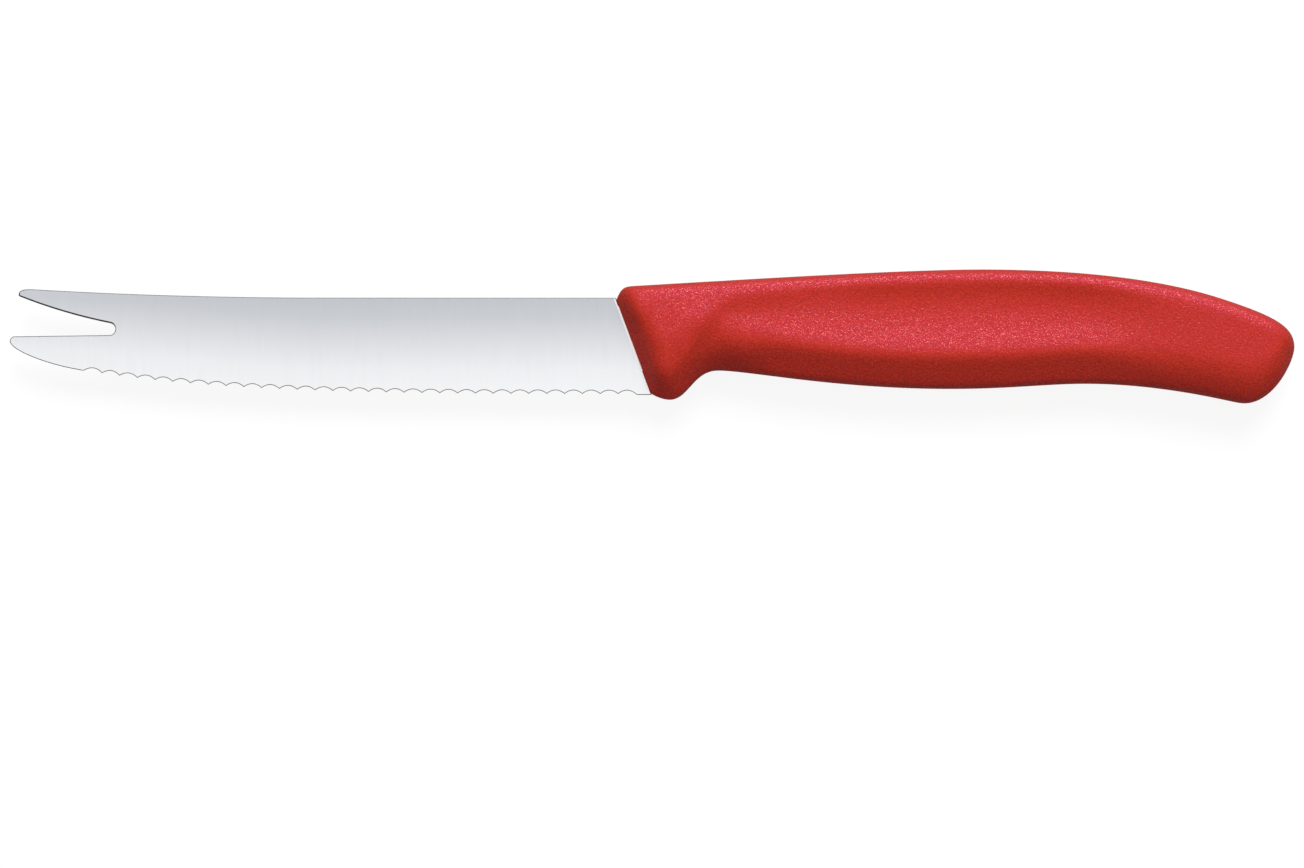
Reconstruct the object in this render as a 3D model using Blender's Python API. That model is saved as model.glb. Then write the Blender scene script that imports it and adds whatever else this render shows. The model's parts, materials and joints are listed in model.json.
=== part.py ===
"""Cheese and sausage knife: a wavy-edged steel blade with a forked tip, in a moulded plastic handle.

The knife lies on its side: X runs from the tips to the butt, Y from the edge to the spine, Z through the
thickness. The shapes are drawn with the tips at x = 0, the straight spine at y = 0 and the blade's middle
plane at z = 0, and one empty then sets the whole knife on its lowest side, centred on the origin.
"""

import math

import bmesh
import bpy
from mathutils import Matrix, Vector
from mathutils.geometry import interpolate_bezier

# Blade, seen from the side
BLADE_LENGTH = 0.1047       # lower tip to the handle, along the spine
EDGE_DEPTH = 0.01678        # spine to the plain heel of the edge
SPINE_RISE = 0.00172        # how far the spine sweeps up towards the tip
SPINE_SWEEP = 0.058         # length of that sweep
SPINE_POWER = 2.2
STRAIGHT_EDGE = 0.0222      # straight stretch of the edge in front of the heel

# Fork
UPPER_TIP_X = 0.00153       # the upper tip stands this far behind the lower one
UPPER_TIP_DEPTH = -0.00052  # depths are below the spine line
UPPER_NOSE = 0.0029         # length of the upper tip's rounding
NOSE_TURN = 3.0             # degrees the spine slopes where that rounding starts
UPPER_TINE_DEPTH = -0.00018
LOWER_TIP_DEPTH = 0.00745
LOWER_TINE_DEPTH = 0.00667
LOWER_NOSE_TURN = 35.0      # degrees the lower tip's end is cut towards the edge
TINE_NOSE = 0.0006
NOTCH_X = 0.01723           # centre of the round root between the tines
NOTCH_DEPTH = 0.00542
NOTCH_RADIUS = 0.00103
NOTCH_BOW = 0.00036         # sag of the upper tine's lower side
NOTCH_TURN = 11.4           # degrees that side slopes where it meets the root
BELLY_X = 0.01044           # where the tip's round belly runs into the long edge
BELLY_DEPTH = 0.01217
BELLY_SLOPE = 11.3          # degrees

# Wavy edge: round hollows ground from one side, with a point between each two
WAVE_START = 0.01286
WAVE_COUNT = 31
WAVE_DEPTH = 0.00067
WAVE_POINT_LOSS = 0.00016   # what the grinding takes off each point
WAVE_GRIND_HEIGHT = 0.00125  # how much further the hollows reach up the ground side
WAVE_RUN_OUT = 0.45         # the first and last hollow run out over this share of a wave
PLAIN_HEEL = 0.0024

# Thickness
STOCK = 0.0012
TIP_STOCK = 0.00102
EDGE_THICKNESS = 0.00036
GRIND_END = 0.0010          # the flat grind runs on this far inside the handle

# Tang, hidden in the handle
TANG_LENGTH = 0.081
TANG_TOP = 0.0013
TANG_FRONT_DEPTH = 0.0128
TANG_DEPTH = 0.0094
TANG_STEP_START = 0.0045    # where its lower side starts to rise, behind the shoulder
TANG_STEP = 0.0110
KEY_HOLE = 0.0042           # bores that lock the plastic to the steel
KEY_FIRST = 0.026
KEY_PITCH = 0.021
KEY_COUNT = 3
FIT = 0.0003                # clearance between steel and plastic

# Handle, seen from the side; places are behind its upper front corner, depths below the spine line
HANDLE_LENGTH = 0.1173
FRONT_LEAN = 20.4           # degrees the front edge leans back towards the chin
CORNER_DEPTH = 0.00030
CORNER_LENGTH = 0.0027
BACK_RISE = 0.00204
BACK_SLOPE = 3.3            # degrees
HUMP_X = 0.0630
HUMP_RISE = 0.00491
SHOULDER_X = 0.1045
SHOULDER_DEPTH = 0.00012
SHOULDER_SLOPE = 18.2       # degrees
BUTT_DEPTH = 0.00871
KNOB_X = 0.1086
KNOB_DEPTH = 0.01838
PALM_X = 0.0812
PALM_DEPTH = 0.01490
BELLY_OF_GRIP_X = 0.0578
BELLY_OF_GRIP_DEPTH = 0.01580
WAIST_X = 0.0177
WAIST_DEPTH = 0.01262
CHIN_X = 0.0094
CHIN_DEPTH = 0.01769
CHIN_FRONT_DEPTH = 0.0166

# Handle, its half thickness
RIDGE_HALF = 0.0065         # at the swell behind the blade and along the ridge
CROWN_HALF = 0.0054         # beside the back
CROWN_HALF_BUTT = 0.0065
FOOT_HALF_SWELL = 0.0013     # beside the finger side, under the swell
FOOT_HALF = 0.0025
FOOT_HALF_BUTT = 0.0026
LIP_HALF = 0.0012           # at the front edge
BACK_ROUND = 0.00225
BACK_ROUND_BUTT = 0.0030
FOOT_ROUND = 0.0010
FLANK_WIDTH = 0.0058        # finger side to the ridge
FLANK_WIDTH_SWELL = 0.0048
FLANK_WIDTH_BUTT = 0.0042
FRONT_FACE = 0.0015         # width of the steep straight face behind the front edge
FRONT_ROUND = 0.0040        # length of the rounding between that face and the swell
FRONT_POWER = 2.3
LIP_ROUND = 0.0012
BUTT_ROUND = 0.0046
BUTT_POWER = 2.2
SWELL_BLEND = 0.0088        # how softly the two flanks meet in the swell
RIDGE_BLEND = 0.0012        # and along the grip
BUTT_BLEND = 0.0030
SWELL_END_X = 0.0125
GRIP_START_X = 0.0300
GRIP_END_X = 0.0800
BUTT_START_X = 0.1000
CROWN_CLIMB_X = 0.0560       # from here the hollow beside the back fills up towards the butt

# Scoop along each flank, and the step down behind the swell
SCOOP_DEPTH = 0.00120
SCOOP_START_X = 0.0190
SCOOP_FULL_X = 0.0500
SCOOP_FADE_X = 0.0770
SCOOP_END_X = 0.1010
SCOOP_BIAS = 0.8            # moves the deepest line towards the back
STEP_DEPTH = 0.0010
STEP_X = 0.0178             # top of the step, beside the back
STEP_LEAN = 0.0062          # how much further forward it stands beside the finger side
STEP_LENGTH = 0.0046
STEP_RECOVERY = 0.0190
STEP_FADE = 0.5             # share of the flank's height over which it fades out towards the back

# Fineness of the blade's outline
SPINE_STEPS = 20
NOSE_STEPS = 6
TINE_STEPS = 10
ARC_STEPS = 12
BELLY_STEPS = 18
EDGE_STEPS = 24
WAVE_STEPS = 8

# Fineness of the handle's skin
STATION_PITCH = 0.0017
FINE_PITCH = 0.00065
BUTT_STEPS = 16
ROUND_STEPS = 5
SCOOP_STEPS = 9
FLANK_STEPS = 5
FOOT_STEPS = 3
CURVE_STEPS = 40

LEAN = math.tan(math.radians(FRONT_LEAN))


def clear_scene():
    for obj in list(bpy.data.objects):
        bpy.data.objects.remove(obj, do_unlink=True)


def make_material(name, colour, roughness, metallic):
    material = bpy.data.materials.new(name)
    material.use_nodes = True
    shader = material.node_tree.nodes["Principled BSDF"]
    shader.inputs["Base Color"].default_value = (*colour, 1.0)
    shader.inputs["Roughness"].default_value = roughness
    shader.inputs["Metallic"].default_value = metallic
    material.diffuse_color = (*colour, 1.0)
    return material


def add_object(name, bm, material=None):
    """A mesh object made from a bmesh; one with no material is a cutter."""
    bmesh.ops.recalc_face_normals(bm, faces=bm.faces)
    mesh = bpy.data.meshes.new(name)
    bm.to_mesh(mesh)
    bm.free()
    obj = bpy.data.objects.new(name, mesh)
    bpy.context.scene.collection.objects.link(obj)
    if material:
        mesh.materials.append(material)
    else:
        obj.hide_render = True
        obj.display_type = "WIRE"
    return obj


def cut(obj, cutter):
    modifier = obj.modifiers.new(cutter.name, "BOOLEAN")
    modifier.operation = "DIFFERENCE"
    modifier.solver = "EXACT"
    modifier.object = cutter
    cutter.parent = obj


def smooth(start, end, value):
    """0 before start, 1 after end, with an even S between them."""
    t = min(max((value - start) / (end - start), 0.0), 1.0)
    return t * t * (3.0 - 2.0 * t)


def mix(a, b, share):
    return a + (b - a) * share


def rounding(distance, width, power=3.0):
    """Height, from 0 to 1, of a rounded edge at this distance in from it."""
    t = min(max(distance / width, 0.0), 1.0)
    return (1.0 - (1.0 - t) ** power) ** (1.0 / power)


def front_rise(distance):
    """Height, from 0 to 1, of the steep front face and its rounding, this far behind the front edge."""
    straight = FRONT_POWER * FRONT_FACE / (FRONT_POWER * FRONT_FACE + FRONT_ROUND)
    if distance < FRONT_FACE:
        return straight * max(distance, 0.0) / FRONT_FACE
    t = min((distance - FRONT_FACE) / FRONT_ROUND, 1.0)
    return 1.0 - (1.0 - straight) * (1.0 - t) ** FRONT_POWER


def heading(degrees, length):
    """A step of this length along +X, turned down towards the edge by the angle."""
    angle = math.radians(degrees)
    return Vector((length * math.cos(angle), -length * math.sin(angle), 0.0))


def curve(start, start_turn, start_reach, end, end_turn, end_reach, steps=CURVE_STEPS):
    """Points of a Bezier curve, with its headings in degrees and its handles as shares of the chord."""
    first = Vector((*start, 0.0))
    last = Vector((*end, 0.0))
    chord = (last - first).length
    handle_out = first + heading(start_turn, start_reach * chord)
    handle_in = last - heading(end_turn, end_reach * chord)
    return [(p.x, p.y) for p in interpolate_bezier(first, handle_out, handle_in, last, steps + 1)]


def height_at(line, x):
    """Y of a line of points, ordered along X, at x."""
    for (x0, y0), (x1, y1) in zip(line, line[1:]):
        if x0 <= x <= x1:
            return mix(y0, y1, (x - x0) / (x1 - x0)) if x1 > x0 else y0
    return line[0][1] if x < line[0][0] else line[-1][1]


def walk(line, start, end, count):
    """X of points along a line, from one X to another, with the same length of line between each two."""
    places = [start] + [x for x, _ in line if start < x < end] + [end]
    reached = [0.0]
    for x0, x1 in zip(places, places[1:]):
        reached.append(reached[-1] + math.hypot(x1 - x0, height_at(line, x1) - height_at(line, x0)))
    return [height_at(list(zip(reached, places)), reached[-1] * i / count) for i in range(count + 1)]


def front_x(y):
    """X of the handle's leaning front face at this height."""
    return BLADE_LENGTH - y * LEAN


def shoulder_x(y):
    """X of the blade's shoulders, which stop just short of the front face."""
    return front_x(y) - FIT / math.cos(math.radians(FRONT_LEAN))


def spine_y(x):
    return SPINE_RISE * max(1.0 - x / SPINE_SWEEP, 0.0) ** SPINE_POWER


def spine_line():
    """The spine from the handle to the upper tip."""
    nose = UPPER_TIP_X + UPPER_NOSE
    sweep = [mix(SPINE_SWEEP, nose, i / SPINE_STEPS) for i in range(SPINE_STEPS + 1)]
    return [(shoulder_x(0.0), 0.0)] + [(x, spine_y(x)) for x in sweep]


def fork_line():
    """The two tips and the notch between them, from the spine to the lower tip."""
    spine_end = (UPPER_TIP_X + UPPER_NOSE, spine_y(UPPER_TIP_X + UPPER_NOSE))
    upper_tip = (UPPER_TIP_X, -UPPER_TIP_DEPTH)
    tine_start = (UPPER_TIP_X + TINE_NOSE / 2, -UPPER_TINE_DEPTH)
    turn = math.radians(NOTCH_TURN)
    root_top = (NOTCH_X + NOTCH_RADIUS * math.sin(turn), -NOTCH_DEPTH + NOTCH_RADIUS * math.cos(turn))
    run = root_top[0] - tine_start[0]
    start_turn = math.degrees(math.atan2(tine_start[1] - root_top[1], run) + 4 * NOTCH_BOW / run)
    line = curve(spine_end, 180 + NOSE_TURN, 0.45, upper_tip, 90, 0.35, NOSE_STEPS)
    line += curve(upper_tip, 90, 0.5, tine_start, start_turn, 0.3, NOSE_STEPS)[1:]
    line += curve(tine_start, start_turn, 0.33, root_top, NOTCH_TURN, 0.33, TINE_STEPS)[1:]
    for i in range(1, ARC_STEPS + 1):
        angle = math.pi / 2 - turn - (math.pi - turn) * i / ARC_STEPS
        root = Vector((math.cos(angle), math.sin(angle))) * NOTCH_RADIUS
        line.append((NOTCH_X + root.x, root.y - NOTCH_DEPTH))
    lower_nose = (TINE_NOSE, -LOWER_TINE_DEPTH)
    lower_tip = (0.0, -LOWER_TIP_DEPTH)
    return line + curve(lower_nose, 180 - LOWER_NOSE_TURN, 0.35, lower_tip, 90, 0.35, NOSE_STEPS)


def edge_line():
    """The edge before its waves are ground: from the lower tip round the belly to the heel."""
    heel = shoulder_x(-EDGE_DEPTH)
    belly = (BELLY_X, -BELLY_DEPTH)
    straight = (heel - STRAIGHT_EDGE, -EDGE_DEPTH)
    line = curve((0.0, -LOWER_TIP_DEPTH), 90, 0.145, belly, BELLY_SLOPE, 0.376, BELLY_STEPS)
    line += curve(belly, BELLY_SLOPE, 0.2, straight, 0, 0.53, EDGE_STEPS)[1:]
    return line + [(heel, -EDGE_DEPTH)]


def tang_line(margin, front):
    """The tang's outline, grown by a margin; it starts this far in front of the handle's front face."""
    top = -TANG_TOP + margin
    front_bottom = -TANG_FRONT_DEPTH - margin
    bottom = -TANG_DEPTH - margin
    start = front_x(front_bottom) + TANG_STEP_START
    line = [(front_x(front_bottom) - front, front_bottom)]
    line += curve((start, front_bottom), 0, 0.45, (start + TANG_STEP, bottom), 0, 0.45, TINE_STEPS)
    radius = (top - bottom) / 2
    centre = BLADE_LENGTH + TANG_LENGTH - radius + margin
    for i in range(ARC_STEPS + 1):
        angle = -math.pi / 2 + math.pi * i / ARC_STEPS
        line.append((centre + radius * math.cos(angle), top - radius + radius * math.sin(angle)))
    return line + [(front_x(top) - front, top)]


def plate(line, half):
    """A flat plate of this outline, with its middle plane at z = 0."""
    bm = bmesh.new()
    face = bm.faces.new([bm.verts.new((x, y, -half)) for x, y in line])
    raised = bmesh.ops.extrude_face_region(bm, geom=[face])["geom"]
    moved = [v for v in raised if isinstance(v, bmesh.types.BMVert)]
    bmesh.ops.translate(bm, verts=moved, vec=(0.0, 0.0, 2 * half))
    return bm


def key_bores(radius):
    """The round keys through the tang, as cylinders longer than the pocket is wide."""
    bm = bmesh.new()
    middle = -(TANG_TOP + TANG_DEPTH) / 2
    for i in range(KEY_COUNT):
        place = Matrix.Translation((BLADE_LENGTH + KEY_FIRST + KEY_PITCH * i, middle, 0.0))
        bmesh.ops.create_cone(
            bm, cap_ends=True, segments=2 * ARC_STEPS, radius1=radius, radius2=radius,
            depth=2 * (STOCK + 2 * FIT), matrix=place,
        )
    return bm


def grind_half(x, y):
    """Half thickness of the flat-ground blade: thinner towards the edge and towards the tip."""
    towards_edge = (SPINE_RISE - y) / (SPINE_RISE + EDGE_DEPTH)
    towards_tip = 1.0 - x / BLADE_LENGTH
    return (STOCK - (STOCK - EDGE_THICKNESS) * towards_edge - (STOCK - TIP_STOCK) * towards_tip) / 2


def grind_cutter(side):
    """The block above one ground face; it ends just inside the handle."""
    top = SPINE_RISE * 2
    bottom = -EDGE_DEPTH * 1.2
    corners = [
        (-2 * TINE_NOSE, top),
        (front_x(top) + GRIND_END, top),
        (front_x(bottom) + GRIND_END, bottom),
        (-2 * TINE_NOSE, bottom),
    ]
    bm = bmesh.new()
    low = [bm.verts.new((x, y, side * grind_half(x, y))) for x, y in corners]
    high = [bm.verts.new((x, y, side * 2 * STOCK)) for x, y in corners]
    bm.faces.new(low)
    bm.faces.new(high)
    for i in range(4):
        bm.faces.new((low[i], low[i - 1], high[i - 1], high[i]))
    return bm


def wave_cutter():
    """One comb for the whole wavy edge, leaning so that it leaves hollows on the ground side only."""
    edge = edge_line()
    points = walk(edge, WAVE_START, shoulder_x(-EDGE_DEPTH) - PLAIN_HEEL, WAVE_COUNT)
    pitch = points[-1] - points[-2]
    lean = WAVE_GRIND_HEIGHT / EDGE_THICKNESS
    reach = STOCK
    below = pitch + lean * reach
    bm = bmesh.new()
    rings = []
    first = -round(WAVE_RUN_OUT * WAVE_STEPS)
    last = round((WAVE_COUNT + WAVE_RUN_OUT) * WAVE_STEPS)
    for i in range(first, last + 1):
        step = i / WAVE_STEPS
        wave = min(max(math.floor(step), 0), WAVE_COUNT - 1)
        x = mix(points[wave], points[wave + 1], step - wave)
        across = 2 * (step - wave) - 1
        depth = WAVE_POINT_LOSS + WAVE_DEPTH * (1 - across * across)
        if step == round(step) and 0 <= step <= WAVE_COUNT:
            depth = WAVE_POINT_LOSS
        y = height_at(edge, x)
        slope = (height_at(edge, x + pitch) - height_at(edge, x - pitch)) / (2 * pitch)
        inward = Vector((-slope, 1.0)).normalized()
        ring = []
        for offset, z in (
            (depth - lean * (reach - EDGE_THICKNESS / 2), reach),
            (depth + lean * (reach + EDGE_THICKNESS / 2), -reach),
            (-below, -reach),
            (-below, reach),
        ):
            ring.append(bm.verts.new((x + inward.x * offset, y + inward.y * offset, z)))
        rings.append(ring)
    for ring, following in zip(rings, rings[1:]):
        for i in range(4):
            bm.faces.new((ring[i], ring[i - 1], following[i - 1], following[i]))
    bm.faces.new(rings[0])
    bm.faces.new(rings[-1])
    return bm


def make_blade(material):
    tang = tang_line(0.0, 0.0)
    tang[0] = (shoulder_x(-TANG_FRONT_DEPTH), -TANG_FRONT_DEPTH)
    tang[-1] = (shoulder_x(-TANG_TOP), -TANG_TOP)
    outline = spine_line() + fork_line()[1:] + edge_line()[1:] + tang
    blade = add_object("blade", plate(outline, STOCK / 2), material)
    cut(blade, add_object("key_hole_cutter", key_bores(KEY_HOLE / 2)))
    cut(blade, add_object("left_grind_cutter", grind_cutter(1)))
    cut(blade, add_object("right_grind_cutter", grind_cutter(-1)))
    cut(blade, add_object("wave_cutter", wave_cutter()))
    return blade


def back_line():
    """The handle's back, from the upper front corner to the butt."""
    corner = (front_x(-CORNER_DEPTH), -CORNER_DEPTH)
    brow = (BLADE_LENGTH + CORNER_LENGTH, BACK_RISE)
    hump = (BLADE_LENGTH + HUMP_X, HUMP_RISE)
    shoulder = (BLADE_LENGTH + SHOULDER_X, -SHOULDER_DEPTH)
    butt = (BLADE_LENGTH + HANDLE_LENGTH, -BUTT_DEPTH)
    line = curve(corner, FRONT_LEAN - 90, 0.5, brow, -BACK_SLOPE, 0.5, 14)
    line += curve(brow, -BACK_SLOPE, 0.233, hump, 0, 0.23)[1:]
    line += curve(hump, 0, 0.216, shoulder, SHOULDER_SLOPE, 0.353)[1:]
    return line + curve(shoulder, SHOULDER_SLOPE, 0.559, butt, 90, 0.257)[1:]


def finger_line():
    """The handle's finger side, from the chin's front corner to the butt."""
    front = (front_x(-CHIN_FRONT_DEPTH), -CHIN_FRONT_DEPTH)
    chin = (BLADE_LENGTH + CHIN_X, -CHIN_DEPTH)
    waist = (BLADE_LENGTH + WAIST_X, -WAIST_DEPTH)
    belly = (BLADE_LENGTH + BELLY_OF_GRIP_X, -BELLY_OF_GRIP_DEPTH)
    palm = (BLADE_LENGTH + PALM_X, -PALM_DEPTH)
    knob = (BLADE_LENGTH + KNOB_X, -KNOB_DEPTH)
    butt = (BLADE_LENGTH + HANDLE_LENGTH, -BUTT_DEPTH)
    line = curve(front, 40, 0.21, chin, 0, 0.32)
    line += curve(chin, 0, 0.337, waist, 0, 0.445)[1:]
    line += curve(waist, 0, 0.131, belly, 0, 0.496)[1:]
    line += curve(belly, 0, 0.45, palm, 0, 0.278)[1:]
    line += curve(palm, 0, 0.513, knob, 0, 0.034)[1:]
    return line + curve(knob, 0, 0.41, butt, -90, 0.137)[1:]


def flank_slopes(crown, foot, upper_width, lower_width, blend):
    """Slopes of a section's two flanks; they meet above the ridge, so that their blend peaks on it."""
    meeting = RIDGE_HALF
    for _ in range(6):
        upper = (meeting - crown) / upper_width
        lower = (meeting - foot) / lower_width
        meeting = RIDGE_HALF + blend * upper * lower / (upper + lower) ** 2
    return upper, lower


def half_thickness(x, y, below_back, above_finger):
    """The handle's half thickness at a point of its side view, this far from the two outlines."""
    along = x - BLADE_LENGTH
    grip = smooth(SWELL_END_X, GRIP_START_X, along)
    butt = smooth(GRIP_END_X, BUTT_START_X, along)
    back_round = mix(BACK_ROUND, BACK_ROUND_BUTT, butt)
    flank = mix(mix(FLANK_WIDTH_SWELL, FLANK_WIDTH, grip), FLANK_WIDTH_BUTT, butt)
    flank = min(flank, (below_back + above_finger) / 2)
    upper_width = max(below_back + above_finger - flank - back_round, flank)
    crown = mix(CROWN_HALF, CROWN_HALF_BUTT, smooth(CROWN_CLIMB_X, BUTT_START_X, along))
    foot = mix(FOOT_HALF_SWELL, FOOT_HALF, smooth(WAIST_X, GRIP_START_X, along))
    foot = mix(foot, FOOT_HALF_BUTT, butt)
    blend = mix(mix(SWELL_BLEND, RIDGE_BLEND, grip), BUTT_BLEND, butt)
    upper_slope, lower_slope = flank_slopes(crown, foot, upper_width, flank, blend)
    upper = (crown + upper_slope * (below_back - back_round)) * rounding(below_back, back_round)
    lower = (foot + lower_slope * above_finger) * rounding(above_finger, FOOT_ROUND)
    overlap = max(blend - abs(upper - lower), 0.0)
    half = min(upper, lower) - overlap * overlap / (4 * blend)

    across = min(max((below_back - back_round) / upper_width, 0.0), 1.0)
    scoop = smooth(SCOOP_START_X, SCOOP_FULL_X, along) * (1 - smooth(SCOOP_FADE_X, SCOOP_END_X, along))
    half -= SCOOP_DEPTH * scoop * math.sin(math.pi * across**SCOOP_BIAS)
    past_step = along - STEP_X + STEP_LEAN * across
    recovery = smooth(STEP_LENGTH, STEP_LENGTH + STEP_RECOVERY, past_step)
    step = smooth(0.0, STEP_LENGTH, past_step) * (1 - recovery)
    half -= STEP_DEPTH * step * smooth(0.0, STEP_FADE, across) * rounding(above_finger, FLANK_WIDTH)

    behind_front = (x - front_x(y)) * math.cos(math.radians(FRONT_LEAN))
    before_butt = BLADE_LENGTH + HANDLE_LENGTH - x
    lip = LIP_HALF * rounding(below_back, LIP_ROUND) * rounding(above_finger, LIP_ROUND)
    lip = min(lip, half)
    half = lip + (half - lip) * front_rise(behind_front)
    return max(half * rounding(before_butt, BUTT_ROUND, BUTT_POWER), 0.0)


def stations():
    """Where the sections meet the back and the finger side. The first ones lean with the front face."""
    front = front_x(-CHIN_FRONT_DEPTH)
    end = BLADE_LENGTH + HANDLE_LENGTH
    places = [front]
    while places[-1] < BLADE_LENGTH + WAIST_X + STEP_LENGTH:
        places.append(places[-1] + FINE_PITCH)
    while places[-1] < end - 3 * BUTT_ROUND - STATION_PITCH:
        places.append(places[-1] + STATION_PITCH)
    turns = [math.pi / 2 * i / BUTT_STEPS for i in range(1, BUTT_STEPS)]
    places += [mix(places[-1], end, math.sin(turn)) for turn in turns]
    found = []
    corner = front_x(-CORNER_DEPTH)
    upright = BLADE_LENGTH + GRIP_START_X
    for x in places:
        share = 1 - smooth(front, upright, x)
        found.append((x - (front - corner) * share, x))
    return found, end


def section(back_x, finger_x, back, finger):
    """One closed section of the handle, from the back down one side and up the other."""
    top = Vector((back_x, height_at(back, back_x)))
    bottom = Vector((finger_x, height_at(finger, finger_x)))
    height = (top - bottom).length
    turns = [math.pi / 2 * i / ROUND_STEPS for i in range(ROUND_STEPS)]
    flank = min(FLANK_WIDTH, height / 2)
    back_round = min(BACK_ROUND, height / 5)
    foot = min(FOOT_ROUND, height / 8)
    depths = [back_round * (1 - math.cos(turn) ** (2 / 3)) for turn in turns]
    depths += [mix(back_round, height - flank, i / SCOOP_STEPS) for i in range(SCOOP_STEPS)]
    depths += [mix(height - flank, height - foot, i / FLANK_STEPS) for i in range(FLANK_STEPS)]
    turns = [math.pi / 2 * i / FOOT_STEPS for i in range(FOOT_STEPS)]
    depths += [height - foot * (1 - math.sin(turn)) for turn in turns]
    left = []
    for depth in depths[1:]:
        point = top.lerp(bottom, depth / height)
        left.append((point.x, point.y, half_thickness(point.x, point.y, depth, height - depth)))
    right = [(x, y, -z) for x, y, z in reversed(left)]
    return [(top.x, top.y, 0.0)] + left + [(bottom.x, bottom.y, 0.0)] + right


def handle_skin():
    back = back_line()
    finger = finger_line()
    found, end = stations()
    bm = bmesh.new()
    rings = [[bm.verts.new(p) for p in section(x, low_x, back, finger)] for x, low_x in found]
    count = len(rings[0])
    for ring, following in zip(rings, rings[1:]):
        for i in range(count):
            bm.faces.new((ring[i], ring[i - 1], following[i - 1], following[i]))
    bm.faces.new(rings[0])
    tip = bm.verts.new((end, -BUTT_DEPTH, 0.0))
    for i in range(count):
        bm.faces.new((rings[-1][i], rings[-1][i - 1], tip))
    return bm


def make_handle(material):
    handle = add_object("handle", handle_skin(), material)
    pocket = add_object("tang_pocket_cutter", plate(tang_line(FIT, 4 * FIT), STOCK / 2 + FIT))
    keys = add_object("key_cutter", key_bores(KEY_HOLE / 2 - FIT))
    cut(pocket, keys)
    cut(handle, pocket)
    handle.data.shade_smooth()
    return handle


def main():
    clear_scene()
    steel = make_material("polished_steel", (0.66, 0.67, 0.69), 0.28, 1.0)
    plastic = make_material("red_plastic", (0.52, 0.035, 0.04), 0.45, 0.0)
    blade = make_blade(steel)
    handle = make_handle(plastic)
    lowest = min(v.co.z for v in handle.data.vertices)
    middle_y = (HUMP_RISE - KNOB_DEPTH) / 2
    origin = bpy.data.objects.new("knife_origin", None)
    bpy.context.scene.collection.objects.link(origin)
    origin.location = (-(BLADE_LENGTH + HANDLE_LENGTH) / 2, -middle_y, -lowest)
    blade.parent = origin
    handle.parent = origin


main()
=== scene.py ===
import json
import math

import bmesh
import bpy
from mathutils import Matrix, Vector

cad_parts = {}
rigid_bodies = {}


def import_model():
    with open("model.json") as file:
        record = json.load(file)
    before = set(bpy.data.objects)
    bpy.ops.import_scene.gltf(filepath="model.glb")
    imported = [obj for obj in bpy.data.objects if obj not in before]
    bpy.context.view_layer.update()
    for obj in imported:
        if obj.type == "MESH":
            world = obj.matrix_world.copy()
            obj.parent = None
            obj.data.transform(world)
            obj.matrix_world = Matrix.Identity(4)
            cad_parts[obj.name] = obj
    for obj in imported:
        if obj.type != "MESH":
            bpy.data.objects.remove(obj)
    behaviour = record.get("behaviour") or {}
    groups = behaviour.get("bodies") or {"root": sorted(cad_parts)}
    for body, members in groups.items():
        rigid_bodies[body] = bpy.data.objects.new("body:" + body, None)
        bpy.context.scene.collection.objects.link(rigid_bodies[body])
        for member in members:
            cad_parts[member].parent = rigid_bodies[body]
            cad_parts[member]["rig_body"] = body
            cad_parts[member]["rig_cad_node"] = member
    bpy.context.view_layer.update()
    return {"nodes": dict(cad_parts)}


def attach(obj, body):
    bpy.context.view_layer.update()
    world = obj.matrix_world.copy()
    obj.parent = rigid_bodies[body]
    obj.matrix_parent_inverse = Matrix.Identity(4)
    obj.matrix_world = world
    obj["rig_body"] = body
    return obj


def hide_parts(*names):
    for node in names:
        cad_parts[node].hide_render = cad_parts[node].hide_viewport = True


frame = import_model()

print("frame loaded:", ", ".join(sorted(frame["nodes"])))

# Where things are on the knife, in metres: X runs to the butt, Y to the spine, Z up
knife = {
    "midZ": 0.0065,             # middle plane of the blade
    "frontX": -0.0063,          # upper front corner of the handle, on the line of the spine
    "spineY": 0.006735,
    "edgeY": -0.010045,         # plain heel of the edge
    "frontLean": 20.4,          # degrees the handle's front leans back
}
frontLean = math.radians(knife["frontLean"])
towardsButt = Vector((math.cos(frontLean), math.sin(frontLean), 0))    # square to the handle's front face


def behindFront(place):
    # how far a place is behind the handle's leaning front face
    along = place.x - knife["frontX"] + (place.y - knife["spineY"]) * math.tan(frontLean)
    return along * math.cos(frontLean)


def selectOnly(piece):
    bpy.ops.object.select_all(action="DESELECT")
    piece.select_set(True)
    bpy.context.view_layer.objects.active = piece


def copyOfNode(nodeName, pieceName):
    # a copy of a CAD node with its loose triangles joined up, ready to be worked on
    selectOnly(frame["nodes"][nodeName])
    bpy.ops.object.duplicate()
    piece = bpy.context.active_object
    piece.name = pieceName
    piece.data.name = pieceName
    bpy.ops.object.parent_clear(type="CLEAR_KEEP_TRANSFORM")
    del piece["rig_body"]
    del piece["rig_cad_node"]
    bpy.ops.mesh.customdata_custom_splitnormals_clear()
    bpy.ops.object.mode_set(mode="EDIT")
    bpy.ops.mesh.select_all(action="SELECT")
    bpy.ops.mesh.remove_doubles(threshold=0.000001)
    return piece


def pickFaces(piece, wanted):
    bpy.ops.mesh.select_mode(type="FACE")
    bpy.ops.mesh.select_all(action="DESELECT")
    mesh = bmesh.from_edit_mesh(piece.data)
    for face in mesh.faces:
        face.select_set(wanted(face))
    bmesh.update_edit_mesh(piece.data)


def pickEdges(piece, wanted):
    bpy.ops.mesh.select_mode(type="EDGE")
    bpy.ops.mesh.select_all(action="DESELECT")
    mesh = bmesh.from_edit_mesh(piece.data)
    for edge in mesh.edges:
        edge.select_set(wanted(edge))
    bmesh.update_edit_mesh(piece.data)


def newMaterial(name):
    material = bpy.data.materials.new(name)
    material.use_nodes = True
    return material, material.node_tree.nodes, material.node_tree.links


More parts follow.
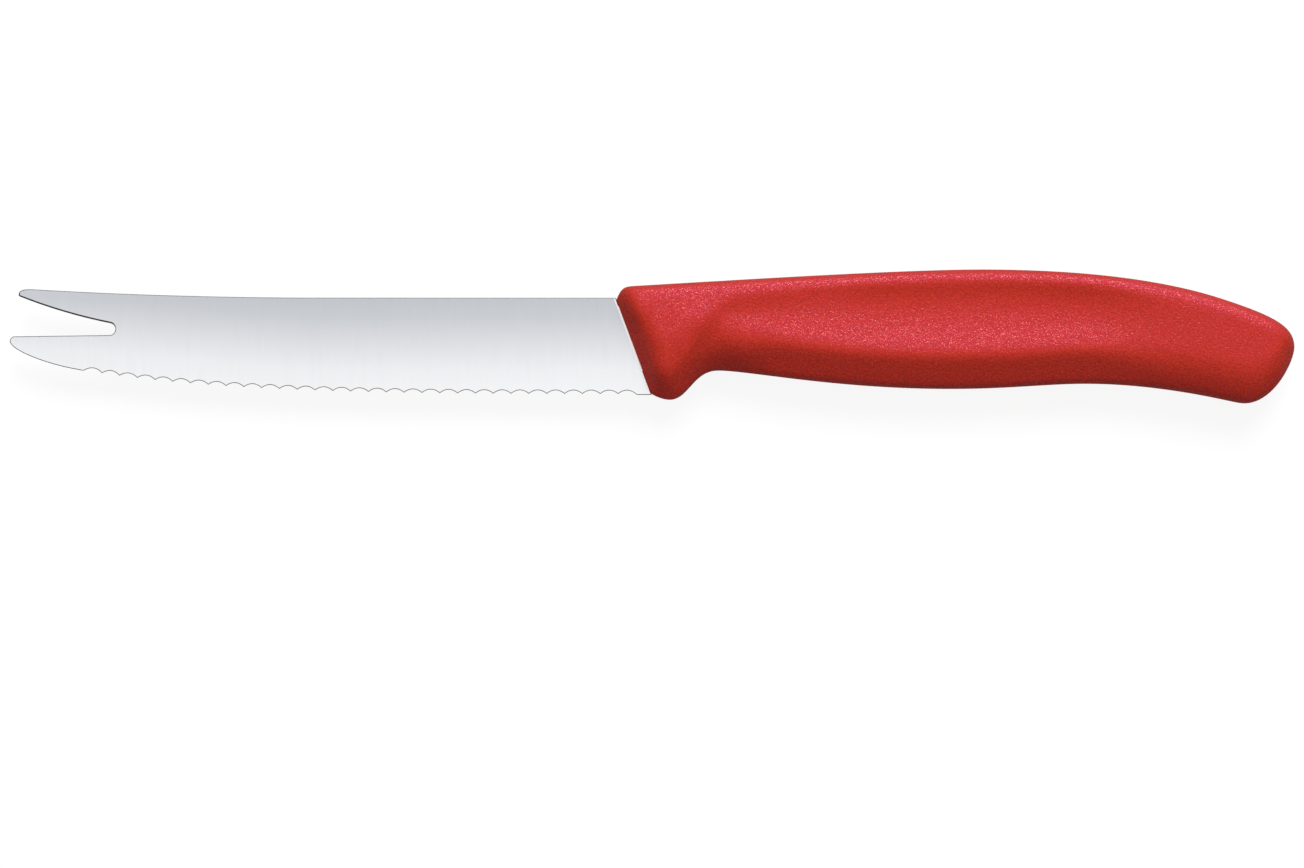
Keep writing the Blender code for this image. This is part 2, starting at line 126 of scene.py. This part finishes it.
def frontDistance(nodes, links, place):
    # the shader's own measure of how far a point is behind the handle's front
    across = nodes.new("ShaderNodeVectorMath")
    across.operation = "DOT_PRODUCT"
    across.inputs[1].default_value = towardsButt
    links.new(place.outputs["Object"], across.inputs[0])
    behind = nodes.new("ShaderNodeMath")
    behind.operation = "SUBTRACT"
    behind.inputs[1].default_value = Vector((knife["frontX"], knife["spineY"], 0)).dot(towardsButt)
    links.new(across.outputs["Value"], behind.inputs[0])
    return behind.outputs["Value"]


plasticLook = {
    "colour": (0.535, 0.0315, 0.0068, 1),
    "paleColour": (0.665, 0.041, 0.0122, 1),
    "roughness": 0.66,
    "gloss": 0.31,
    "sheenTint": (0.12, 0.12, 1.0, 1),     # the light that it throws back is cool
    "speckRoughness": 0.30,                # single grains that catch the lamps
    "speckGloss": 0.76,
    "speckTint": (0.9, 0.39, 0.40, 1),
    "speckScale": 4700,
    "speckRange": (0.52, 0.66),            # a speck starts and is full at these levels of the noise
    "speckHeight": 0.3,                    # how much they stand up from the grain
    "grainScale": 2700,                    # spark-eroded grain, about a third of a millimetre
    "grainDepth": 0.00011,
    "grainRange": (0.38, 0.62),            # levels of its pits and of its paler peaks
}


def redPlastic():
    look = plasticLook
    material, nodes, links = newMaterial("moulded red plastic")
    shader = nodes["Principled BSDF"]
    place = nodes.new("ShaderNodeTexCoord")

    grain = nodes.new("ShaderNodeTexNoise")
    grain.inputs["Scale"].default_value = look["grainScale"]
    grain.inputs["Detail"].default_value = 2.5
    grain.inputs["Roughness"].default_value = 0.55
    links.new(place.outputs["Object"], grain.inputs["Vector"])

    fine = nodes.new("ShaderNodeTexNoise")
    fine.inputs["Scale"].default_value = look["speckScale"]
    fine.inputs["Detail"].default_value = 0.5
    links.new(place.outputs["Object"], fine.inputs["Vector"])
    specks = nodes.new("ShaderNodeMapRange")
    specks.inputs["From Min"].default_value, specks.inputs["From Max"].default_value = look["speckRange"]
    links.new(fine.outputs["Fac"], specks.inputs["Value"])
    for socket, plain, speck in (
        ("Roughness", look["roughness"], look["speckRoughness"]),
        ("Specular IOR Level", look["gloss"], look["speckGloss"]),
    ):
        level = nodes.new("ShaderNodeMix")
        level.inputs["A"].default_value = plain
        level.inputs["B"].default_value = speck
        links.new(specks.outputs["Result"], level.inputs["Factor"])
        links.new(level.outputs["Result"], shader.inputs[socket])
    sheen = nodes.new("ShaderNodeMix")
    sheen.data_type = "RGBA"
    sheen.inputs["A"].default_value = look["sheenTint"]
    sheen.inputs["B"].default_value = look["speckTint"]
    links.new(specks.outputs["Result"], sheen.inputs["Factor"])
    links.new(sheen.outputs["Result"], shader.inputs["Specular Tint"])

    height = nodes.new("ShaderNodeMath")
    height.operation = "MULTIPLY_ADD"
    height.inputs[1].default_value = look["speckHeight"]
    links.new(fine.outputs["Fac"], height.inputs[0])
    links.new(grain.outputs["Fac"], height.inputs[2])
    bump = nodes.new("ShaderNodeBump")
    bump.inputs["Strength"].default_value = 1
    bump.inputs["Distance"].default_value = look["grainDepth"]
    links.new(height.outputs["Value"], bump.inputs["Height"])
    links.new(bump.outputs["Normal"], shader.inputs["Normal"])

    peaks = nodes.new("ShaderNodeMapRange")
    peaks.inputs["From Min"].default_value, peaks.inputs["From Max"].default_value = look["grainRange"]
    links.new(grain.outputs["Fac"], peaks.inputs["Value"])
    tint = nodes.new("ShaderNodeMix")
    tint.data_type = "RGBA"
    tint.inputs["A"].default_value = look["colour"]
    tint.inputs["B"].default_value = look["paleColour"]
    links.new(peaks.outputs["Result"], tint.inputs["Factor"])
    links.new(tint.outputs["Result"], shader.inputs["Base Color"])
    return material


steelLook = {
    "paintedReflection": (                            # painted reflection: grey at the spine to near white at the edge, standing in for the studio mirrored in the polish
        (0.0, (0.540, 0.563, 0.590, 1)),
        (0.21, (0.592, 0.612, 0.646, 1)),
        (0.5, (0.745, 0.752, 0.785, 1)),
        (0.75, (0.862, 0.870, 0.890, 1)),
        (1.0, (0.915, 0.920, 0.928, 1)),
    ),
    "tipShift": 0.25,                      # towards the fork the painted reflection lies this much higher
    "tipStart": -0.058,
    "tipEnd": -0.110,
    "paintedFrontHighlight": (0.00039, 0.00024),       # painted highlight: a pale line before the plastic, where it starts and is full
    "paintedFrontHighlightColour": (1.0, 0.93, 0.93, 1),
    "roughness": 0.30,
    "lineScale": 5200,                     # fine polishing lines, square to the edge
    "lineStretch": 0.02,
    "lineSpread": 0.05,                    # how much they change the roughness
    "lineDepth": 0.00002,
    "lineStrength": 0.03,
    "cutFinishAndPaintedShade": (0.10, 0.10, 0.104),     # the cut sides and the broken edges: partly their dull cut finish, partly painted shade that draws the blade's dark outline
    "sideRoughness": 0.45,
    "streakScale": 1500,
    "streakSpread": 0.15,                  # share that streaks make them lighter and darker
}


def groundSteel():
    look = steelLook
    material, nodes, links = newMaterial("ground steel")
    shader = nodes["Principled BSDF"]
    shader.inputs["Metallic"].default_value = 1
    place = nodes.new("ShaderNodeTexCoord")

    # how far down the blade, with the painted reflection rising towards the fork
    split = nodes.new("ShaderNodeSeparateXYZ")
    links.new(place.outputs["Object"], split.inputs["Vector"])
    down = nodes.new("ShaderNodeMapRange")
    down.inputs["From Min"].default_value = knife["spineY"]
    down.inputs["From Max"].default_value = knife["edgeY"]
    links.new(split.outputs["Y"], down.inputs["Value"])
    tip = nodes.new("ShaderNodeMapRange")
    tip.inputs["From Min"].default_value = look["tipStart"]
    tip.inputs["From Max"].default_value = look["tipEnd"]
    tip.inputs["To Max"].default_value = look["tipShift"]
    links.new(split.outputs["X"], tip.inputs["Value"])
    depth = nodes.new("ShaderNodeMath")
    depth.operation = "ADD"
    links.new(down.outputs["Result"], depth.inputs[0])
    links.new(tip.outputs["Result"], depth.inputs[1])
    # painted reflection: the blade's base colour runs from grey at the spine to near white at the edge
    ramp = nodes.new("ShaderNodeValToRGB")
    stops = ramp.color_ramp.elements
    while len(stops) < len(look["paintedReflection"]):
        stops.new(0.5)
    for stop, (position, colour) in zip(stops, look["paintedReflection"]):
        stop.position = position
        stop.color = colour
    links.new(depth.outputs["Value"], ramp.inputs["Fac"])

    # painted highlight: a pale line on the steel just short of the plastic, also lifting the shade where
    # steel meets handle
    line = nodes.new("ShaderNodeMapRange")
    line.interpolation_type = "SMOOTHSTEP"
    line.inputs["From Min"].default_value = -look["paintedFrontHighlight"][0]
    line.inputs["From Max"].default_value = -look["paintedFrontHighlight"][1]
    links.new(frontDistance(nodes, links, place), line.inputs["Value"])
    face = nodes.new("ShaderNodeMix")
    face.data_type = "RGBA"
    face.inputs["B"].default_value = look["paintedFrontHighlightColour"]
    links.new(line.outputs["Result"], face.inputs["Factor"])
    links.new(ramp.outputs["Color"], face.inputs["A"])
    links.new(face.outputs["Result"], shader.inputs["Base Color"])

    # fine lines left by the wheel
    stretch = nodes.new("ShaderNodeMapping")
    stretch.inputs["Scale"].default_value = (1, look["lineStretch"], 1)
    links.new(place.outputs["Object"], stretch.inputs["Vector"])
    wheel = nodes.new("ShaderNodeTexNoise")
    wheel.inputs["Scale"].default_value = look["lineScale"]
    wheel.inputs["Detail"].default_value = 2
    links.new(stretch.outputs["Vector"], wheel.inputs["Vector"])
    shade = nodes.new("ShaderNodeMapRange")
    shade.inputs["To Min"].default_value = look["roughness"] - look["lineSpread"]
    shade.inputs["To Max"].default_value = look["roughness"] + look["lineSpread"]
    links.new(wheel.outputs["Fac"], shade.inputs["Value"])
    links.new(shade.outputs["Result"], shader.inputs["Roughness"])
    bump = nodes.new("ShaderNodeBump")
    bump.inputs["Strength"].default_value = look["lineStrength"]
    bump.inputs["Distance"].default_value = look["lineDepth"]
    links.new(wheel.outputs["Fac"], bump.inputs["Height"])
    links.new(bump.outputs["Normal"], shader.inputs["Normal"])
    return material


# the edge steel's near-black colour is partly the dull cut finish and partly painted shade for the
# outline
def blankedSteelAndPaintedShade():
    look = steelLook
    material, nodes, links = newMaterial("blanked steel edge and painted shade")
    shader = nodes["Principled BSDF"]
    shader.inputs["Metallic"].default_value = 1
    shader.inputs["Roughness"].default_value = look["sideRoughness"]
    place = nodes.new("ShaderNodeTexCoord")
    streak = nodes.new("ShaderNodeTexNoise")
    streak.inputs["Scale"].default_value = look["streakScale"]
    streak.inputs["Detail"].default_value = 2
    links.new(place.outputs["Object"], streak.inputs["Vector"])
    tint = nodes.new("ShaderNodeMix")
    tint.data_type = "RGBA"
    for socket, level in (("A", 1 - look["streakSpread"]), ("B", 1 + look["streakSpread"])):
        tint.inputs[socket].default_value = tuple(part * level for part in look["cutFinishAndPaintedShade"]) + (1,)
    links.new(streak.outputs["Fac"], tint.inputs["Factor"])
    links.new(tint.outputs["Result"], shader.inputs["Base Color"])
    return material


bladeShape = {
    "shoulderNear": 0.0006,                # the shoulders are within this of the handle's front
    "shoulderReach": 0.00034,              # how far they go back to meet the plastic
    "brokenEdge": 0.00013,                 # width and drop of the broken edge round both faces
    "tineEdge": 0.00015,                   # how much wider and deeper it is under the upper tine
    "tineX": -0.109,                       # the upper tine's middle line: its start, height and fall
    "tineY": 0.00725,
    "tineFall": 0.00215 / 0.015,
    "tineReach": 0.0006,                   # it dies out this far above that line
    "tineFade": 0.0004,
    "notchX": -0.0924,                     # behind the notch's round root
    "notchY": 0.0013,                      # upper side of the lower tine
    "notchFade": 0.001,
    "noseX": -0.1089,                      # the upper tine's rounded nose starts here
    "noseFade": 0.0005,
    "noseTurn": 0.6,                       # share of its rise that turns inwards there
    "smoothAngle": 18,
}


def underUpperTine(place):
    # 1 along the underside of the upper tine and round its nose, dying out above it and in the notch
    shape = bladeShape
    if place.x > shape["notchX"] or place.y < shape["notchY"]:
        return 0
    top = shape["tineY"] - shape["tineFall"] * (place.x - shape["tineX"]) + shape["tineReach"]
    below = (top - place.y) / shape["tineFade"]
    above = (place.y - shape["notchY"]) / shape["notchFade"]
    return max(0, min(1, below, above))


def makeBlade():
    shape = bladeShape
    blade = copyOfNode("blade", "bladeSteel")
    bpy.ops.mesh.dissolve_limited(angle_limit=math.radians(0.3))
    blade.data.materials.clear()
    blade.data.materials.append(groundSteel())
    blade.data.materials.append(blankedSteelAndPaintedShade())

    # shoulders back against the handle's front face
    pickFaces(blade, lambda face: face.normal.dot(towardsButt) > 0.995
              and abs(behindFront(face.calc_center_median())) < shape["shoulderNear"])
    bpy.ops.transform.translate(value=(shape["shoulderReach"], 0, 0))

    # the sides of the blank stay as they were cut, in the dark edge steel that is partly painted shade
    blade.active_material_index = 1
    pickFaces(blade, lambda face: abs(face.normal.z) < 0.3)
    bpy.ops.object.material_slot_assign()

    # a narrow broken edge round each ground face
    for side in (1, -1):
        pickFaces(blade, lambda face: face.normal.z * side > 0.99
                  and behindFront(face.calc_center_median()) < 0)
        bpy.ops.mesh.dissolve_faces()
        bpy.ops.mesh.inset(thickness=shape["brokenEdge"], depth=0, use_even_offset=True,
                           use_select_inset=True)
        # the broken edge takes the dark edge steel as well, painted shade that draws the blade's outline
        bpy.ops.object.material_slot_assign()
        mesh = bmesh.from_edit_mesh(blade.data)
        strip = {face for face in mesh.faces if face.select}
        ring = {point for face in strip for point in face.verts}
        # it drops only where it meets the sides of the blank, and not where a hollow runs out there
        outer = {point for point in ring if any(abs(face.normal.z) < 0.5 for face in point.link_faces)
                 and not any(face.normal.z * side < -0.9 for face in point.link_faces)}
        print("broken edge:", len(strip), "faces,", len(outer), "outer points")
        for point in ring:
            share = underUpperTine(point.co)
            if point in outer:
                point.co.z -= side * (shape["brokenEdge"] + share * shape["tineEdge"])
            else:
                atNose = max(0, min(1, (shape["noseX"] - point.co.x) / shape["noseFade"]))
                point.co.x += share * shape["tineEdge"] * atNose
                point.co.y += share * shape["tineEdge"] * (1 - shape["noseTurn"] * atNose)
        bmesh.update_edit_mesh(blade.data)
    bpy.ops.object.mode_set(mode="OBJECT")
    bpy.ops.object.shade_smooth_by_angle(angle=math.radians(shape["smoothAngle"]))
    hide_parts("blade")
    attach(blade, "root")
    return blade


handleShape = {
    "mouthHalf": (0.0008, 0.00095),        # the pocket's sides at the front are this far from midZ
    "mouthTop": 0.00052,                   # half thickness of the steel where it enters, near the spine
    "mouthBottom": 0.00028,                # and near the edge
    "lipRound": 0.00018,                   # rounding of the front lip
    "onFront": 0.00002,                    # a point this near to the front face is on it
    "creaseAngle": 38,
    "pocketHalf": 0.001,                   # nothing gets fuller this near to midZ
    "fullerFade": 0.0015,                  # and over this much more it comes in
    "fullerPlaces": (                      # x, y, reach, and the share that the moulding is thicker there
        (-0.0001, -0.0078, 0.0064, 0.29),  # toe of the guard
        (-0.0003, -0.0078, 0.0045, 0.13),
        (0.0069, -0.0096, 0.0056, -0.10),  # thinner right behind the toe
        (0.0075, -0.0043, 0.0055, 0.10),   # behind the guard
        (0.0142, -0.0040, 0.0069, 0.17),   # start of the finger hollow
        (-0.0045, 0.0045, 0.0044, 0.31),   # upper front corner
    ),
}


def fullness(place):
    # how much thicker the handle is at a place than the CAD solid, dying out round each fuller place
    total = 1
    for x, y, reach, share in handleShape["fullerPlaces"]:
        nearness = max(0, 1 - math.hypot(place.x - x, place.y - y) / reach)
        total += share * nearness * nearness * (3 - 2 * nearness)
    return total


def onLip(edge):
    # round the outside of the handle's front face
    first, second = edge.verts
    if len(edge.link_faces) != 2:
        return False
    if max(abs(behindFront(first.co)), abs(behindFront(second.co))) > handleShape["onFront"]:
        return False
    middleZ = ((first.co + second.co) / 2).z
    isLevel = abs(first.co.z - second.co.z) < 0.0001
    if isLevel and abs(middleZ - knife["midZ"]) < handleShape["pocketHalf"]:
        return False                       # that one is on the pocket's mouth
    fronts = [face for face in edge.link_faces if face.normal.dot(towardsButt) < -0.99]
    return len(fronts) == 1


def makeHandle():
    shape = handleShape
    handle = copyOfNode("handle", "moldedHandle")
    bpy.ops.mesh.tris_convert_to_quads(face_threshold=math.radians(40), shape_threshold=math.radians(60))

    # the pocket's mouth closes on the steel
    mesh = bmesh.from_edit_mesh(handle.data)
    low, high = shape["mouthHalf"]
    mouth = [point for point in mesh.verts if abs(behindFront(point.co)) < shape["onFront"]
             and low < abs(point.co.z - knife["midZ"]) < high]
    for point in mouth:
        share = (knife["spineY"] - point.co.y) / (knife["spineY"] - knife["edgeY"])
        half = shape["mouthTop"] + (shape["mouthBottom"] - shape["mouthTop"]) * share
        point.co.z = knife["midZ"] + math.copysign(half, point.co.z - knife["midZ"])

    # some more body round the guard, none of it at the pocket
    for point in mesh.verts:
        height = point.co.z - knife["midZ"]
        outside = max(0, min(1, (abs(height) - shape["pocketHalf"]) / shape["fullerFade"]))
        point.co.z += height * (fullness(point.co) - 1) * outside
    bmesh.update_edit_mesh(handle.data)

    # a small rounding on the front lip, then everything sharper is kept sharp
    pickEdges(handle, onLip)
    bpy.ops.mesh.bevel(offset=shape["lipRound"], segments=2, clamp_overlap=True)
    bpy.ops.mesh.select_mode(type="EDGE")
    bpy.ops.mesh.select_all(action="DESELECT")
    bpy.ops.mesh.edges_select_sharp(sharpness=math.radians(shape["creaseAngle"]))
    bpy.ops.transform.edge_crease(value=1)
    bpy.ops.object.mode_set(mode="OBJECT")
    smoothing = handle.modifiers.new("smoothing", "SUBSURF")
    smoothing.levels = 1
    smoothing.render_levels = 1
    bpy.ops.object.modifier_apply(modifier=smoothing.name)
    bpy.ops.object.shade_smooth_by_angle(angle=math.radians(shape["creaseAngle"]))
    handle.data.materials.clear()
    handle.data.materials.append(redPlastic())
    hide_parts("handle")
    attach(handle, "root")
    return handle


blade = makeBlade()
print("blade:", len(blade.data.polygons), "faces")
handle = makeHandle()
print("handle:", len(handle.data.polygons), "faces")


studio = {
    "floorSize": 6.0,
    "floorGap": 0.0001,                    # the floor is only just clear of the handle
    "floorGrey": 0.30,                     # share of the light that the floor throws back on the knife
    "keyStrength": 31.2,
    "keySize": 1.1,
    "keyHeight": 50,                       # degrees above the floor, from the spine's side
    "rimStrength": 42.0,                   # a low panel behind the spine that only shines are made of
    "rimSize": 1.3,
    "rimHeight": 16,
    "lampDistance": 1.9,                   # of both
    "lampTurn": 12,                        # degrees that both stand round towards the butt
    "fill": 0.27,                          # even light from all round
    "floorGlow": 0.90,                     # makes the floor white for the camera
    "floorShade": 0.14,                    # how much of the shadow shows
    "floorMirrored": 0.1,                  # how much of the glow shiny surfaces see
    "overhead": 1.12,                      # what shiny surfaces see above them
    "overheadFrom": 0.55,                  # it is that bright from this height on, 1 being straight up
    "behindLift": 0.35,                    # and brighter behind the spine, as if it were this much higher
    "lowFront": 0.22,                      # what they see low down on the edge's side
    "lens": 120,
    "sensorWidth": 36,                     # millimetres, as the lens
    "frameWidth": 0.22545,                 # metres across the picture, at the blade
    "aimY": -0.0168,
}


def makeFloor():
    bpy.ops.object.select_all(action="DESELECT")
    bpy.ops.mesh.primitive_plane_add(size=studio["floorSize"], location=(0, 0, -studio["floorGap"]))
    floor = bpy.context.active_object
    floor.name = "studioFloor"
    bpy.ops.object.transform_apply(location=True, rotation=True, scale=True)
    material, nodes, links = newMaterial("pale floor")
    nodes.remove(nodes["Principled BSDF"])
    output = nodes["Material Output"]
    grey = nodes.new("ShaderNodeBsdfDiffuse")
    grey.inputs["Color"].default_value = (studio["floorGrey"],) * 3 + (1,)
    shadowed = nodes.new("ShaderNodeBsdfDiffuse")
    shadowed.inputs["Color"].default_value = (studio["floorShade"],) * 3 + (1,)
    glow = nodes.new("ShaderNodeEmission")
    glow.inputs["Strength"].default_value = studio["floorGlow"]
    seen = nodes.new("ShaderNodeAddShader")
    links.new(shadowed.outputs["BSDF"], seen.inputs[0])
    links.new(glow.outputs["Emission"], seen.inputs[1])
    path = nodes.new("ShaderNodeLightPath")
    mirrored = nodes.new("ShaderNodeMath")
    mirrored.operation = "MULTIPLY_ADD"
    mirrored.inputs[1].default_value = studio["floorMirrored"]
    links.new(path.outputs["Is Glossy Ray"], mirrored.inputs[0])
    links.new(path.outputs["Is Camera Ray"], mirrored.inputs[2])
    through = nodes.new("ShaderNodeMath")
    through.operation = "MAXIMUM"
    links.new(mirrored.outputs["Value"], through.inputs[0])
    links.new(path.outputs["Is Transmission Ray"], through.inputs[1])
    pick = nodes.new("ShaderNodeMixShader")
    links.new(through.outputs["Value"], pick.inputs["Fac"])
    links.new(grey.outputs["BSDF"], pick.inputs[1])
    links.new(seen.outputs["Shader"], pick.inputs[2])
    links.new(pick.outputs["Shader"], output.inputs["Surface"])
    floor.data.materials.append(material)


def makeWorld():
    world = bpy.data.worlds.new("studio")
    bpy.context.scene.world = world
    world.use_nodes = True
    nodes = world.node_tree.nodes
    links = world.node_tree.links
    fill = nodes["Background"]
    fill.inputs["Color"].default_value = (1, 1, 1, 1)
    fill.inputs["Strength"].default_value = studio["fill"]

    # what shiny surfaces see: bright overhead and behind the spine, darker low down on the edge's side
    mirror = nodes.new("ShaderNodeBackground")
    direction = nodes.new("ShaderNodeTexCoord")
    split = nodes.new("ShaderNodeSeparateXYZ")
    links.new(direction.outputs["Generated"], split.inputs["Vector"])
    behind = nodes.new("ShaderNodeMath")
    behind.operation = "MAXIMUM"
    behind.inputs[1].default_value = 0
    links.new(split.outputs["Y"], behind.inputs[0])
    tilt = nodes.new("ShaderNodeMath")
    tilt.operation = "MULTIPLY_ADD"
    tilt.inputs[1].default_value = studio["behindLift"]
    links.new(behind.outputs["Value"], tilt.inputs[0])
    links.new(split.outputs["Z"], tilt.inputs[2])
    level = nodes.new("ShaderNodeMapRange")
    level.interpolation_type = "SMOOTHSTEP"
    level.inputs["From Min"].default_value = 0.0
    level.inputs["From Max"].default_value = studio["overheadFrom"]
    level.inputs["To Min"].default_value = studio["lowFront"]
    level.inputs["To Max"].default_value = studio["overhead"]
    links.new(tilt.outputs["Value"], level.inputs["Value"])
    links.new(level.outputs["Result"], mirror.inputs["Strength"])
    white = nodes.new("ShaderNodeBackground")
    white.inputs["Strength"].default_value = 1

    # only a shine seen straight by the camera sees it, and the camera itself sees plain white
    path = nodes.new("ShaderNodeLightPath")
    bounces = nodes.new("ShaderNodeMath")
    bounces.operation = "MULTIPLY_ADD"
    bounces.inputs[1].default_value = 2
    links.new(path.outputs["Diffuse Depth"], bounces.inputs[0])
    links.new(path.outputs["Glossy Depth"], bounces.inputs[2])
    direct = nodes.new("ShaderNodeMath")
    direct.operation = "LESS_THAN"
    direct.inputs[1].default_value = 1.5
    links.new(bounces.outputs["Value"], direct.inputs[0])
    mirrored = nodes.new("ShaderNodeMath")
    mirrored.operation = "MULTIPLY"
    links.new(path.outputs["Is Glossy Ray"], mirrored.inputs[0])
    links.new(direct.outputs["Value"], mirrored.inputs[1])
    shiny = nodes.new("ShaderNodeMixShader")
    links.new(mirrored.outputs["Value"], shiny.inputs["Fac"])
    links.new(fill.outputs["Background"], shiny.inputs[1])
    links.new(mirror.outputs["Background"], shiny.inputs[2])
    seen = nodes.new("ShaderNodeMixShader")
    links.new(path.outputs["Is Camera Ray"], seen.inputs["Fac"])
    links.new(shiny.outputs["Shader"], seen.inputs[1])
    links.new(white.outputs["Background"], seen.inputs[2])
    links.new(seen.outputs["Shader"], nodes["World Output"].inputs["Surface"])


def makeLamp(name, strength, size, heightDegrees):
    bpy.ops.object.select_all(action="DESELECT")
    height = math.radians(heightDegrees)
    turn = math.radians(studio["lampTurn"])
    level = math.cos(height)
    away = Vector((level * math.sin(turn), level * math.cos(turn), math.sin(height)))
    away *= studio["lampDistance"]
    bpy.ops.object.light_add(type="AREA", location=away)
    lamp = bpy.context.active_object
    lamp.name = name
    lamp.data.energy = strength
    lamp.data.shape = "DISK"
    lamp.data.size = size
    lamp.rotation_euler = away.to_track_quat("Z", "Y").to_euler()
    return lamp


def makeCamera():
    distance = studio["lens"] / studio["sensorWidth"] * studio["frameWidth"]
    bpy.ops.object.camera_add(location=(0, studio["aimY"], knife["midZ"] + distance), rotation=(0, 0, 0))
    camera = bpy.context.active_object
    camera.data.lens = studio["lens"]
    camera.data.sensor_width = studio["sensorWidth"]
    camera.data.clip_start = 0.01
    bpy.context.scene.camera = camera


makeFloor()
makeWorld()
makeLamp("softKey", studio["keyStrength"], studio["keySize"], studio["keyHeight"])
rim = makeLamp("lowRim", studio["rimStrength"], studio["rimSize"], studio["rimHeight"])
rim.visible_diffuse = False                # it makes shines only
makeCamera()
bpy.context.scene.view_settings.view_transform = "Standard"
print("floor, light and camera in place")
